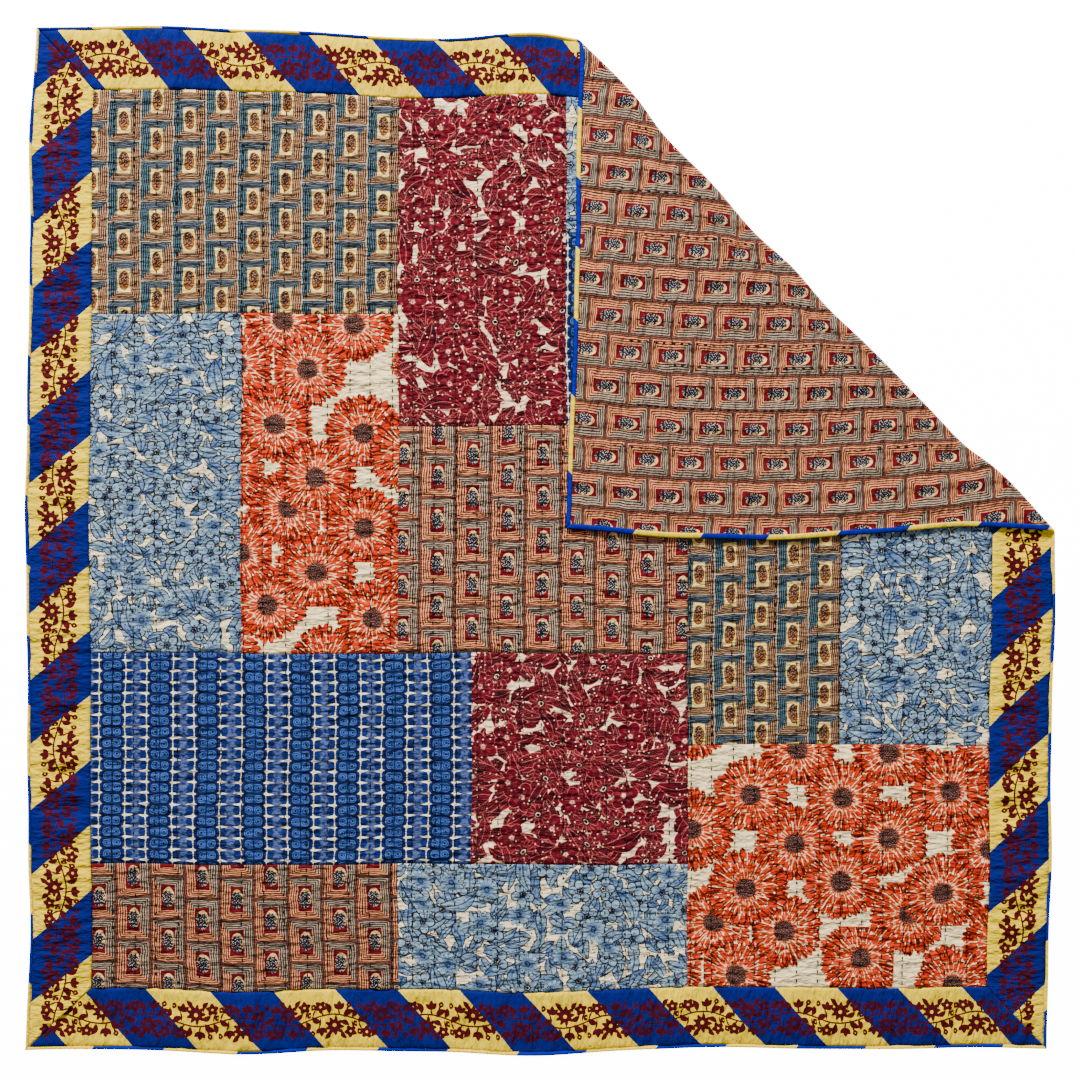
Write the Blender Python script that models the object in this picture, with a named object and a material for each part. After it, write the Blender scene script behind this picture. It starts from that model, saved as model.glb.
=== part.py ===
"""A patchwork quilt that lies face up with its top right corner folded over onto the front.

Every piece is first built flat, in the quilt's own sewn coordinates: u across, v up the quilt, and n
through its thickness, counted from the outer face of the backing. Two steps then shape it. stretch()
moves the points in the plane, so that the four edges get their real, uneven run. fold() carries the
corner beyond the fold line round a half turn and lays it upside down on the front.

Both steps are straight between the lines that every piece is cut along, so pieces that lie 0.3 mm
apart when flat stay apart when folded.
"""

import math

import bmesh
import bpy
from mathutils import Matrix, Vector

# Sizes in metres
HALF_SIDE = 1.150
BINDING_WIDTH = 0.011
BORDER_INNER = 0.138
GAP = 0.0003
BACKING_THICKNESS = 0.0014
QUILT_THICKNESS = 0.0050
BINDING_HEIGHT = 0.0062
SEAM_MIDDLE = 0.0030

# Quilting: the sewn lines run up the quilt and leave soft channels between them
CHANNELS = 42
SHOULDER = 0.009
FRONT_FURROW = 0.0013
SHOULDER_DROP = 0.0003
BACK_FURROW = 0.0004

# The border is a little fuller along its middle
BORDER_EDGE_DROP = 0.0008

# The fold line meets the top edge and the right edge here
FOLD_START = Vector((0.0881, 1.1319))
FOLD_END = Vector((1.1590, 0.0271))
FOLD_INNER_RADIUS = 0.0025
FOLD_STEPS = 10
FOLD_REACH = 0.090
FLAP_DROP = 0.0020
FLAP_RELIEF_START = 0.035

# How far each edge lies outside its straight line, at places along it
EDGE_REACH = 0.46
EDGES = {
    "top": [
        {"along": -1.15, "out": 0.008},
        {"along": -0.92, "out": 0.015},
        {"along": -0.69, "out": 0.006},
        {"along": -0.46, "out": -0.005},
        {"along": -0.23, "out": -0.015},
        {"along": 0.00, "out": -0.003},
        {"along": 0.0881, "out": -0.0181},
        {"along": 0.23, "out": -0.020},
        {"along": 0.46, "out": -0.021},
        {"along": 0.69, "out": -0.024},
        {"along": 0.92, "out": -0.025},
        {"along": 1.15, "out": -0.021},
    ],
    "right": [
        {"along": -1.15, "out": -0.007},
        {"along": -0.92, "out": -0.006},
        {"along": -0.69, "out": 0.001},
        {"along": -0.46, "out": 0.002},
        {"along": -0.23, "out": 0.007},
        {"along": 0.00, "out": 0.009},
        {"along": 0.23, "out": 0.009},
        {"along": 0.46, "out": 0.031},
        {"along": 0.69, "out": 0.050},
        {"along": 0.92, "out": 0.053},
        {"along": 1.15, "out": 0.038},
    ],
    "bottom": [
        {"along": -1.15, "out": -0.001},
        {"along": -0.92, "out": -0.004},
        {"along": -0.69, "out": 0.005},
        {"along": -0.46, "out": -0.001},
        {"along": -0.23, "out": 0.003},
        {"along": 0.00, "out": 0.008},
        {"along": 0.23, "out": -0.005},
        {"along": 0.46, "out": -0.007},
        {"along": 0.69, "out": -0.005},
        {"along": 0.92, "out": -0.009},
        {"along": 1.15, "out": -0.005},
    ],
    "left": [
        {"along": -1.15, "out": 0.014},
        {"along": -0.92, "out": 0.005},
        {"along": -0.69, "out": 0.006},
        {"along": -0.46, "out": 0.008},
        {"along": -0.23, "out": 0.011},
        {"along": 0.00, "out": 0.013},
        {"along": 0.23, "out": 0.010},
        {"along": 0.46, "out": 0.009},
        {"along": 0.69, "out": 0.002},
        {"along": 0.92, "out": 0.003},
        {"along": 1.15, "out": -0.011},
    ],
}

# How far the fold bows inwards from its straight line, at places along it
FOLD_BOW = [
    {"along": 0.000, "inwards": 0.000},
    {"along": 0.195, "inwards": 0.000},
    {"along": 0.270, "inwards": 0.011},
    {"along": 0.450, "inwards": 0.011},
    {"along": 0.590, "inwards": 0.019},
    {"along": 0.700, "inwards": 0.012},
    {"along": 0.820, "inwards": 0.018},
    {"along": 0.950, "inwards": 0.013},
    {"along": 1.150, "inwards": 0.012},
    {"along": 1.270, "inwards": 0.011},
    {"along": 1.335, "inwards": 0.000},
    {"along": 1.540, "inwards": 0.000},
]

# The middle of the folded quilt's outline, which becomes the origin
OUTLINE_MIDDLE = Vector((-0.0025, 0.0035))

TURNS = {"top": 0, "left": 1, "bottom": 2, "right": 3}

# Colour, roughness
FINISHES = {
    "patchwork_centre": ((0.52, 0.20, 0.16), 0.9),
    "border": ((0.10, 0.16, 0.48), 0.9),
    "backing": ((0.55, 0.26, 0.20), 0.9),
    "binding": ((0.70, 0.56, 0.16), 0.85),
}


def between(rows, place, key):
    """The value in a table's column at a place along it, straight between its rows."""
    if place <= rows[0]["along"]:
        return rows[0][key]
    for low, high in zip(rows, rows[1:]):
        if place <= high["along"]:
            share = (place - low["along"]) / (high["along"] - low["along"])
            return low[key] + share * (high[key] - low[key])
    return rows[-1][key]


def near_edge(distance):
    """1 on an edge, down to 0 at EDGE_REACH inside it."""
    return max(0.0, 1.0 - distance / EDGE_REACH)


def stretch(u, v):
    """Sewn coordinates to the real flat outline."""
    x = u + between(EDGES["right"], v, "out") * near_edge(HALF_SIDE - u)
    x -= between(EDGES["left"], v, "out") * near_edge(HALF_SIDE + u)
    y = v + between(EDGES["top"], u, "out") * near_edge(HALF_SIDE - v)
    y -= between(EDGES["bottom"], u, "out") * near_edge(HALF_SIDE + v)
    return x, y


FOLD_ALONG = (FOLD_END - FOLD_START).normalized()
FOLD_ACROSS = Vector((-FOLD_ALONG.y, FOLD_ALONG.x))
FOLD_TURN = math.pi * (FOLD_INNER_RADIUS + QUILT_THICKNESS / 2)
TURN_CENTRE = QUILT_THICKNESS + FOLD_INNER_RADIUS
TURN_LINES = [FOLD_TURN * (step / FOLD_STEPS - 0.5) for step in range(FOLD_STEPS + 1)]
FOLD_LINES = [TURN_LINES[0] - FOLD_REACH, *TURN_LINES, TURN_LINES[-1] + FOLD_REACH]


def turned(step, n):
    """Distance across and height of a point at one of the lines of the half turn."""
    angle = math.pi * step / FOLD_STEPS
    radius = TURN_CENTRE - n
    return TURN_LINES[0] + radius * math.sin(angle), TURN_CENTRE - radius * math.cos(angle)


def fold(x, y, n):
    """The real flat outline to the quilt as it lies, with its corner turned over."""
    from_start = Vector((x, y)) - FOLD_START
    along = from_start.dot(FOLD_ALONG)
    across = from_start.dot(FOLD_ACROSS)
    beyond = max(0.0, abs(across) - TURN_LINES[-1])
    if across <= TURN_LINES[0]:
        place, height = across, n
    elif across >= TURN_LINES[-1]:
        place = -across
        height = 2 * TURN_CENTRE - n - FLAP_DROP * min(1.0, beyond / FOLD_REACH)
    else:
        steps = (across - TURN_LINES[0]) / FOLD_TURN * FOLD_STEPS
        step = min(int(steps), FOLD_STEPS - 1)
        share = steps - step
        (low_place, low_height), (high_place, high_height) = turned(step, n), turned(step + 1, n)
        place = low_place + share * (high_place - low_place)
        height = low_height + share * (high_height - low_height)
    place -= between(FOLD_BOW, along, "inwards") * max(0.0, 1.0 - beyond / FOLD_REACH)
    plan = FOLD_START + FOLD_ALONG * along + FOLD_ACROSS * place - OUTLINE_MIDDLE
    return Vector((plan.x, plan.y, height))


def cut(bm, faces, point, normal):
    """Adds the points where a plane crosses these faces, and takes nothing away."""
    edges = {edge for face in faces for edge in face.edges}
    verts = {vert for face in faces for vert in face.verts}
    bmesh.ops.bisect_plane(
        bm,
        geom=[*verts, *edges, *faces],
        dist=1e-6,
        plane_co=point,
        plane_no=normal,
    )


def cut_at_table_places(bm):
    for place in sorted({row["along"] for rows in EDGES.values() for row in rows}):
        if abs(place) < HALF_SIDE:
            cut(bm, bm.faces[:], (place, 0, 0), (1, 0, 0))
            cut(bm, bm.faces[:], (0, place, 0), (0, 1, 0))


def cut_at_fold(bm):
    for across in FOLD_LINES:
        point = FOLD_START + FOLD_ACROSS * across
        cut(bm, bm.faces[:], point.to_3d(), FOLD_ACROSS.to_3d())
    for row in FOLD_BOW:
        near = []
        for face in bm.faces:
            across = (face.calc_center_median().xy - FOLD_START).dot(FOLD_ACROSS)
            if FOLD_LINES[0] < across < FOLD_LINES[-1]:
                near.append(face)
        point = FOLD_START + FOLD_ALONG * row["along"]
        cut(bm, near, point.to_3d(), FOLD_ALONG.to_3d())


def faces_at(bm, n):
    """The faces that lie flat at this height through the thickness."""
    return [face for face in bm.faces if all(abs(vert.co.z - n) < 1e-6 for vert in face.verts)]


def channel_places():
    """Each sewn line, the shoulders beside it and the crest after it."""
    half = HALF_SIDE - BORDER_INNER
    pitch = 2 * half / CHANNELS
    places = []
    for channel in range(CHANNELS):
        line = -half + channel * pitch
        if channel:
            places.append((line, "line"))
        places.append((line + SHOULDER, "shoulder"))
        places.append((line + pitch / 2, "crest"))
        places.append((line + pitch - SHOULDER, "shoulder"))
    return places


def wall_faces(bm, half):
    """The upright faces at this distance up or down the quilt, and those at this distance across it."""
    return [
        face
        for face in bm.faces
        if any(all(abs(abs(vert.co[axis]) - half) < 1e-6 for vert in face.verts) for axis in (0, 1))
    ]


def match_seam(bm, v):
    """Cuts the upright faces at v near the fold, so that both sides of the seam there fold alike."""
    for place, _ in channel_places():
        across = (Vector(stretch(place, v)) - FOLD_START).dot(FOLD_ACROSS)
        if abs(across) > FOLD_LINES[-1] + SHOULDER:
            continue
        seam = [face for face in bm.faces if all(abs(vert.co.y - v) < 1e-6 for vert in face.verts)]
        cut(bm, seam, (place, 0, 0), (1, 0, 0))


def sew_channels(bm, faces, height, drops, wanted=None):
    """Cuts the faces along the channels and moves their points through the thickness."""
    places = channel_places()
    for place, _ in places:
        cut(bm, faces, (place, 0, 0), (1, 0, 0))
        faces = faces_at(bm, height)
        if wanted:
            faces = [face for face in faces if wanted(face.calc_center_median())]
    kinds = {round(place, 6): kind for place, kind in places}
    for vert in {vert for face in faces for vert in face.verts}:
        if wanted and not wanted(vert.co):
            continue
        vert.co.z += drops.get(kinds.get(round(vert.co.x, 6)), 0.0)


def shape(bm):
    """Gives the flat piece its real outline and its fold."""
    for vert in bm.verts:
        vert.co.x, vert.co.y = stretch(vert.co.x, vert.co.y)
    cut_at_fold(bm)
    bmesh.ops.triangulate(bm, faces=bm.faces[:])
    for vert in bm.verts:
        vert.co = fold(*vert.co)
    bmesh.ops.recalc_face_normals(bm, faces=bm.faces[:])


def square_sheet(half, low, high):
    bm = bmesh.new()
    corners = [(-half, -half), (half, -half), (half, half), (-half, half)]
    base = bm.faces.new([bm.verts.new((x, y, low)) for x, y in corners])
    raised = bmesh.ops.extrude_face_region(bm, geom=[base])["geom"]
    moved = [item for item in raised if isinstance(item, bmesh.types.BMVert)]
    bmesh.ops.translate(bm, verts=moved, vec=(0, 0, high - low))
    bmesh.ops.recalc_face_normals(bm, faces=bm.faces[:])
    return bm


def edge_strip(section, edge):
    """A strip along one edge with mitred ends. section is its outline as (distance in, height)."""
    bm = bmesh.new()
    ends = []
    for side in (-1, 1):
        loop = []
        for inwards, height in section:
            reach = HALF_SIDE - inwards - GAP / math.sqrt(2)
            loop.append(bm.verts.new((side * reach, HALF_SIDE - inwards, height)))
        ends.append(loop)
    for first, second in zip(range(len(section)), [*range(1, len(section)), 0]):
        bm.faces.new([ends[0][first], ends[0][second], ends[1][second], ends[1][first]])
    bm.faces.new(ends[0])
    bm.faces.new(ends[1])
    turn = Matrix.Rotation(TURNS[edge] * math.pi / 2, 3, "Z")
    bmesh.ops.rotate(bm, verts=bm.verts[:], cent=(0, 0, 0), matrix=turn)
    bmesh.ops.recalc_face_normals(bm, faces=bm.faces[:])
    return bm


def material_for(kind):
    colour, roughness = FINISHES[kind]
    material = bpy.data.materials.get(kind) or bpy.data.materials.new(kind)
    material.use_nodes = True
    shader = material.node_tree.nodes["Principled BSDF"]
    shader.inputs["Base Color"].default_value = (*colour, 1)
    shader.inputs["Roughness"].default_value = roughness
    shader.inputs["Metallic"].default_value = 0.0
    return material


def add_piece(name, bm, kind):
    mesh = bpy.data.meshes.new(name)
    bm.to_mesh(mesh)
    bm.free()
    mesh.materials.append(material_for(kind))
    piece = bpy.data.objects.new(name, mesh)
    bpy.context.scene.collection.objects.link(piece)
    return piece


def make_centre():
    half = HALF_SIDE - BORDER_INNER - GAP / 2
    bm = square_sheet(half, BACKING_THICKNESS + GAP, QUILT_THICKNESS)
    cut(bm, wall_faces(bm, half), (0, 0, SEAM_MIDDLE), (0, 0, 1))
    cut_at_table_places(bm)
    match_seam(bm, half)
    drops = {"line": -FRONT_FURROW, "shoulder": -SHOULDER_DROP}
    sew_channels(bm, faces_at(bm, QUILT_THICKNESS), QUILT_THICKNESS, drops)
    shape(bm)
    return add_piece("patchwork_centre", bm, "patchwork_centre")


def in_flap(point):
    """True for a point well past the fold, whose backing faces up."""
    return (Vector(point[:2]) - FOLD_START).dot(FOLD_ACROSS) > FLAP_RELIEF_START - 1e-6


def make_backing():
    half = HALF_SIDE - BINDING_WIDTH - GAP
    bm = square_sheet(half, 0.0, BACKING_THICKNESS)
    cut_at_table_places(bm)
    point = FOLD_START + FOLD_ACROSS * FLAP_RELIEF_START
    cut(bm, bm.faces[:], point.to_3d(), FOLD_ACROSS.to_3d())
    inner = HALF_SIDE - BORDER_INNER
    for side in (-inner, inner):
        cut(bm, faces_at(bm, 0.0), (side, 0, 0), (1, 0, 0))
        cut(bm, faces_at(bm, 0.0), (0, side, 0), (0, 1, 0))

    def quilted(point):
        return in_flap(point) and max(abs(point[0]), abs(point[1])) < inner + 1e-6

    flap = [face for face in faces_at(bm, 0.0) if quilted(face.calc_center_median())]
    sew_channels(bm, flap, 0.0, {"line": BACK_FURROW, "shoulder": BACK_FURROW / 4}, quilted)
    shape(bm)
    return add_piece("backing", bm, "backing")


def make_border(edge):
    low = BACKING_THICKNESS + GAP
    outer = BINDING_WIDTH + GAP
    inner = BORDER_INNER - GAP / 2
    side_height = QUILT_THICKNESS - BORDER_EDGE_DROP
    section = [
        (outer, low),
        (inner, low),
        (inner, SEAM_MIDDLE),
        (inner, side_height),
        ((outer + inner) / 2, QUILT_THICKNESS),
        (outer, side_height),
        (outer, SEAM_MIDDLE),
    ]
    bm = edge_strip(section, edge)
    cut_at_table_places(bm)
    match_seam(bm, HALF_SIDE - inner)
    shape(bm)
    return add_piece(f"border_{edge}", bm, "border")


def make_binding(edge):
    section = [
        (0.27 * BINDING_WIDTH, 0.0),
        (BINDING_WIDTH, 0.0),
        (BINDING_WIDTH, BACKING_THICKNESS),
        (BINDING_WIDTH, SEAM_MIDDLE),
        (BINDING_WIDTH, 0.85 * BINDING_HEIGHT),
        (0.70 * BINDING_WIDTH, BINDING_HEIGHT),
        (0.30 * BINDING_WIDTH, 0.97 * BINDING_HEIGHT),
        (0.07 * BINDING_WIDTH, 0.76 * BINDING_HEIGHT),
        (0.0, 0.48 * BINDING_HEIGHT),
        (0.08 * BINDING_WIDTH, 0.16 * BINDING_HEIGHT),
    ]
    bm = edge_strip(section, edge)
    cut_at_table_places(bm)
    shape(bm)
    return add_piece(f"binding_{edge}", bm, "binding")


def main():
    for old in list(bpy.data.objects):
        bpy.data.objects.remove(old)
    pieces = [make_centre(), make_backing()]
    for edge in EDGES:
        pieces.append(make_border(edge))
        pieces.append(make_binding(edge))
    quilt = bpy.data.objects.new("quilt", None)
    bpy.context.scene.collection.objects.link(quilt)
    for piece in pieces:
        piece.parent = quilt


main()
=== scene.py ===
import math

import bmesh
import bpy
import numpy as np
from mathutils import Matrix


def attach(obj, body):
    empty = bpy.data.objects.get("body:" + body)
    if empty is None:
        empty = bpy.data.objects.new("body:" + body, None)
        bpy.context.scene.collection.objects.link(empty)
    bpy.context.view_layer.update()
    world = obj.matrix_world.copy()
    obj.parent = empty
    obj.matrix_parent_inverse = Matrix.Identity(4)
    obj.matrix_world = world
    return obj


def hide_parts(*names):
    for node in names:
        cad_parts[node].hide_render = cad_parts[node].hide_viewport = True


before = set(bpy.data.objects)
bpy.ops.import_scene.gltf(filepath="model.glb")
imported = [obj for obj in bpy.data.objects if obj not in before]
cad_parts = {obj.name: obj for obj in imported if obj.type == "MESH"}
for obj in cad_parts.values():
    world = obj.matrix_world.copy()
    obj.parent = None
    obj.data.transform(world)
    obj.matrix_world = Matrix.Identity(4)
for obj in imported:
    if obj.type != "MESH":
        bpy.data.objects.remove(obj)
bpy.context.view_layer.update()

# The quilt is laid out flat in metres, u across, v up and n through it from the back, then folded.
quilt = {
    "halfSide": 1.150,
    "bindingFront": 0.0045,  # how much of the binding shows on the front
    "backingEdge": 0.0052,
    "borderInner": 0.138,
    "thickness": 0.0050,
    "channels": 42,
    "edgeReach": 0.46,
    "outlineMiddle": (-0.0025, 0.0035),
}

# How far each edge lies outside its straight line, at places along it.
edges = {
    "top": {-1.15: 0.008, -0.92: 0.015, -0.69: 0.006, -0.46: -0.005, -0.23: -0.015, 0.0: -0.003, 0.0881: -0.0181,
            0.23: -0.020, 0.46: -0.021, 0.69: -0.024, 0.92: -0.025, 1.15: -0.021},
    "right": {-1.15: -0.007, -0.92: -0.006, -0.69: 0.001, -0.46: 0.002, -0.23: 0.007, 0.0: 0.009, 0.23: 0.009,
              0.46: 0.031, 0.69: 0.050, 0.92: 0.053, 1.15: 0.038},
    "bottom": {-1.15: -0.001, -0.92: -0.004, -0.69: 0.005, -0.46: -0.001, -0.23: 0.003, 0.0: 0.008, 0.23: -0.005,
               0.46: -0.007, 0.69: -0.005, 0.92: -0.009, 1.15: -0.005},
    "left": {-1.15: 0.014, -0.92: 0.005, -0.69: 0.006, -0.46: 0.008, -0.23: 0.011, 0.0: 0.013, 0.23: 0.010,
             0.46: 0.009, 0.69: 0.002, 0.92: 0.003, 1.15: -0.011},
}

corner = {
    "start": (0.0881, 1.1319),  # where the fold meets the top edge and the right edge
    "end": (1.1590, 0.0271),
    "innerRadius": 0.0025,
    "reach": 0.090,
    "flapDrop": 0.0020,
    "turnCuts": 12,
    "bow": {0.0: 0.0, 0.195: 0.0, 0.270: 0.011, 0.450: 0.011, 0.590: 0.019, 0.700: 0.012, 0.820: 0.018,
            0.950: 0.013, 1.150: 0.012, 1.270: 0.011, 1.335: 0.0, 1.540: 0.0},
}


def smoothTable(table, x):  # a soft curve through a table's points
    places = np.array(sorted(table))
    values = np.array([table[p] for p in places])
    slopes = np.gradient(values, places)
    x = np.clip(x, places[0], places[-1])
    i = np.clip(np.searchsorted(places, x) - 1, 0, len(places) - 2)
    step = places[i + 1] - places[i]
    t = (x - places[i]) / step
    a, b = values[i], values[i + 1]
    return (a * (1 + 2 * t) * (1 - t) ** 2 + slopes[i] * step * t * (1 - t) ** 2
            + b * t * t * (3 - 2 * t) + slopes[i + 1] * step * t * t * (t - 1))


def softNoise(x, y, seed):  # smooth bumps from -1 to 1, one for each unit of x and y
    lattice = np.random.RandomState(seed).rand(128, 128) * 2 - 1
    i, j = np.floor(x).astype(int), np.floor(y).astype(int)
    s, t = x - i, y - j
    s, t = s * s * (3 - 2 * s), t * t * (3 - 2 * t)
    low = lattice[i % 128, j % 128] * (1 - s) + lattice[(i + 1) % 128, j % 128] * s
    high = lattice[i % 128, (j + 1) % 128] * (1 - s) + lattice[(i + 1) % 128, (j + 1) % 128] * s
    return low * (1 - t) + high * t


def stretched(u, v):  # the sewn square to the real, uneven flat outline
    half, reach = quilt["halfSide"], quilt["edgeReach"]
    u, v = (u + 0.0016 * np.sin(9.1 * v + 2.3 * u) + 0.0009 * np.sin(23 * v - 7 * u + 1),
            v + 0.0016 * np.sin(8.3 * u - 1.9 * v + 2) + 0.0009 * np.sin(21 * u + 6 * v))

    def near(distance):
        return np.clip(1 - distance / reach, 0, 1.1)

    x = u + smoothTable(edges["right"], v) * near(half - u) - smoothTable(edges["left"], v) * near(half + u)
    y = v + smoothTable(edges["top"], u) * near(half - v) - smoothTable(edges["bottom"], u) * near(half + v)
    return x, y


foldStart = np.array(corner["start"])
foldLength = math.dist(corner["start"], corner["end"])
foldAlong = (np.array(corner["end"]) - foldStart) / foldLength
foldAcross = np.array([-foldAlong[1], foldAlong[0]])
foldTurn = math.pi * (corner["innerRadius"] + quilt["thickness"] / 2)
turnCentre = quilt["thickness"] + corner["innerRadius"]


def acrossFold(x, y):
    return (x - foldStart[0]) * foldAcross[0] + (y - foldStart[1]) * foldAcross[1]


def folded(x, y, n):  # the flat outline to the quilt as it lies, with its corner turned over
    along = (x - foldStart[0]) * foldAlong[0] + (y - foldStart[1]) * foldAlong[1]
    across = acrossFold(x, y)
    half = foldTurn / 2
    angle = np.clip((across + half) / foldTurn, 0, 1) * math.pi
    radius = turnCentre - n
    onTurn = -half + radius * np.sin(angle)
    place = np.where(across <= -half, across, np.where(across >= half, -across, onTurn))
    beyond = np.clip((np.abs(across) - half) / corner["reach"], 0, 1)
    ease = beyond * beyond * (3 - 2 * beyond)
    height = turnCentre - radius * np.cos(angle) - corner["flapDrop"] * ease * (across > 0)
    place = place - smoothTable(corner["bow"], along) * (1 - ease)
    middle = quilt["outlineMiddle"]
    return np.stack([foldStart[0] + foldAlong[0] * along + foldAcross[0] * place - middle[0],
                     foldStart[1] + foldAlong[1] * along + foldAcross[1] * place - middle[1], height], -1)


relief = {
    "furrow": 0.0016,
    "furrowWidth": 0.0060,
    "crown": 0.0005,
    "crinkle": 0.0014,
    "seamDip": 0.0011,
    "seamWidth": 0.0045,
    "borderCrown": 0.0014,
    "borderLevel": 0.0041,
    "borderWrinkle": 0.0042,
    "bindingGroove": 0.0017,
    "grooveWidth": 0.0045,
    "backFurrow": 0.0008,
    "backCrinkle": 0.0004,
    "backMost": 0.0021,
    "innerFlat": 0.0014,
    "innerRise": 0.0013,  # how much higher the hidden faces lie in the turned corner
    "leastCloth": 0.0005,
}
wander = {"reach": 0.0014, "along": 5.3, "each": 3.1}  # how the sewn lines sway from straight
innerHalf = quilt["halfSide"] - quilt["borderInner"]
channelPitch = 2 * innerHalf / quilt["channels"]


def lineWander(u, v):
    channel = np.round((u + innerHalf) / channelPitch)
    return wander["reach"] * np.sin(wander["along"] * v + wander["each"] * channel)


def quilting(u, v):  # 1 on a sewn line, falling off beside it
    position = (u + innerHalf - lineWander(u, v)) / channelPitch
    distance = np.abs(position - np.round(position)) * channelPitch
    return np.exp(-(distance / relief["furrowWidth"]) ** 2), np.cos(math.pi * 2 * position)


def turnedUp(x, y):  # 0 on what lies flat and 1 on the corner
    return np.clip((acrossFold(x, y) - 0.012) / 0.03, 0, 1)


def innerLevel(u, v):  # the height of the hidden faces, clear of the backing's
    return relief["innerFlat"] + relief["innerRise"] * turnedUp(*stretched(u, v))


def frontHeight(u, v, toEdge):
    onLine, wave = quilting(u, v)
    crinkle = softNoise(u / 0.038 + 7, v / 0.017, 11) + 0.6 * softNoise(u / 0.024, v / 0.0125 + 5, 12)
    large = 0.5 * softNoise(u / 0.16, v / 0.13, 13)
    height = (quilt["thickness"] - relief["furrow"] * onLine - relief["crown"] * 0.5 * (1 + wave)
              + relief["crinkle"] * (1 - 0.6 * onLine) * (crinkle + large) - seamDip(toEdge))
    return np.maximum(height, innerLevel(u, v) + relief["leastCloth"])


def seamDip(distance):
    return relief["seamDip"] * np.exp(-(distance / relief["seamWidth"]) ** 2)


def clothSheet(name, u, v, outer, inner, uv=None, coarse=4):
    # The outer face keeps every point of these grids and the hidden inner one only some.
    rows, columns = u.shape
    keepRows = sorted({*range(0, rows, coarse), rows - 1})
    keepColumns = sorted({*range(0, columns, coarse), columns - 1})
    pick = np.ix_(keepRows, keepColumns)
    flatX, flatY = stretched(u, v)
    points = np.concatenate([np.stack([flatX, flatY, outer], -1).reshape(-1, 3),
                             np.stack([flatX[pick], flatY[pick], inner[pick]], -1).reshape(-1, 3)])
    a, b = (u, v) if uv is None else uv
    places = np.concatenate([np.stack([a, b], -1).reshape(-1, 2),
                             np.stack([a[pick], b[pick]], -1).reshape(-1, 2)])
    index = np.arange(rows * columns).reshape(rows, columns)
    under = np.arange(len(keepRows) * len(keepColumns)).reshape(len(keepRows), len(keepColumns))
    under = under + rows * columns
    quads = [np.stack([index[:-1, :-1], index[:-1, 1:], index[1:, 1:], index[1:, :-1]], -1).reshape(-1, 4),
             np.stack([under[:-1, :-1], under[1:, :-1], under[1:, 1:], under[:-1, 1:]], -1).reshape(-1, 4)]
    faces = [face.tolist() for block in quads for face in block]
    sides = [(index[0], keepColumns, under[0]), (index[:, -1], keepRows, under[:, -1]),
             (index[-1][::-1], [columns - 1 - k for k in keepColumns[::-1]], under[-1][::-1]),
             (index[::-1, 0], [rows - 1 - k for k in keepRows[::-1]], under[::-1, 0])]
    for top, stops, low in sides:
        for k in range(len(stops) - 1):
            faces.append([*top[stops[k]:stops[k + 1] + 1][::-1].tolist(), int(low[k]), int(low[k + 1])])
    return makePiece(name, points, faces, places)


def makePiece(name, points, faces, places):
    # points are in the flat outline. A piece that the fold crosses is cut along it first.
    mesh = bpy.data.meshes.new(name)
    mesh.from_pydata(points.tolist(), [], faces)
    layer = mesh.uv_layers.new(name="cloth")
    corners = np.empty(len(mesh.loops), np.int32)
    mesh.loops.foreach_get("vertex_index", corners)
    layer.uv.foreach_set("vector", places[corners].astype(np.float32).ravel())
    across = acrossFold(points[:, 0], points[:, 1])
    if across.min() < 0 < across.max():
        bm = bmesh.new()
        bm.from_mesh(mesh)
        span = foldTurn / 2 + 0.004
        for k in range(corner["turnCuts"] + 1):
            at = foldStart + foldAcross * span * (2 * k / corner["turnCuts"] - 1)
            near = [f for f in bm.faces if any(abs(acrossFold(w.co.x, w.co.y)) < 0.05 for w in f.verts)]
            geometry = [*{w for f in near for w in f.verts}, *{e for f in near for e in f.edges}, *near]
            bmesh.ops.bisect_plane(bm, geom=geometry, dist=1e-6,
                                   plane_co=(*at, 0), plane_no=(*foldAcross, 0))
        bm.to_mesh(mesh)
        bm.free()
    flat = np.empty(len(mesh.vertices) * 3)
    mesh.vertices.foreach_get("co", flat)
    flat = flat.reshape(-1, 3)
    mesh.vertices.foreach_set("co", folded(flat[:, 0], flat[:, 1], flat[:, 2]).ravel())
    mesh.update()
    mesh.shade_smooth()
    piece = bpy.data.objects.new(name, mesh)
    bpy.context.scene.collection.objects.link(piece)
    return piece


def gridLines(low, high, step, offset=0.0):  # even lines that keep to the channels, and both ends
    first, last = math.ceil((low - offset) / step), math.floor((high - offset) / step)
    lines = [low] + [offset + k * step for k in range(first, last + 1)
                     if low + step / 3 < offset + k * step < high - step / 3] + [high]
    return np.array(lines)


class Wire:  # one output of a material's node, for sums
    def __init__(self, dye, socket):
        self.dye, self.socket = dye, socket

    def calc(self, operation, *others):
        inputs = {i: value for i, value in enumerate((self, *others))}
        return self.dye.add("Math", {"operation": operation}, inputs)

    def __add__(self, other):
        return self.calc("ADD", other)

    def __sub__(self, other):
        return self.calc("SUBTRACT", other)

    def __mul__(self, other):
        return self.calc("MULTIPLY", other)

    def __truediv__(self, other):
        return self.calc("DIVIDE", other)

    def __rsub__(self, other):
        return self.dye.add("Math", {"operation": "SUBTRACT"}, {0: other, 1: self})

    def __abs__(self):
        return self.calc("ABSOLUTE")

    __radd__, __rmul__ = __add__, __mul__

    def part(self):
        return self.calc("FRACT")

    def least(self, other):
        return self.calc("MINIMUM", other)

    def most(self, other):
        return self.calc("MAXIMUM", other)

    def ease(self, low, high):  # 0 up to low and 1 from high, or the other way round
        return self.dye.add("MapRange", {"interpolation_type": "SMOOTHSTEP"},
                            {"Value": self, "From Min": low, "From Max": high})


def tint(red, green, blue):  # screen colour to scene colour
    shares = [c / 255 for c in (red, green, blue)]
    return (*[((s + 0.055) / 1.055) ** 2.4 if s > 10 / 255 else s / 12.92 for s in shares], 1)


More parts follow.
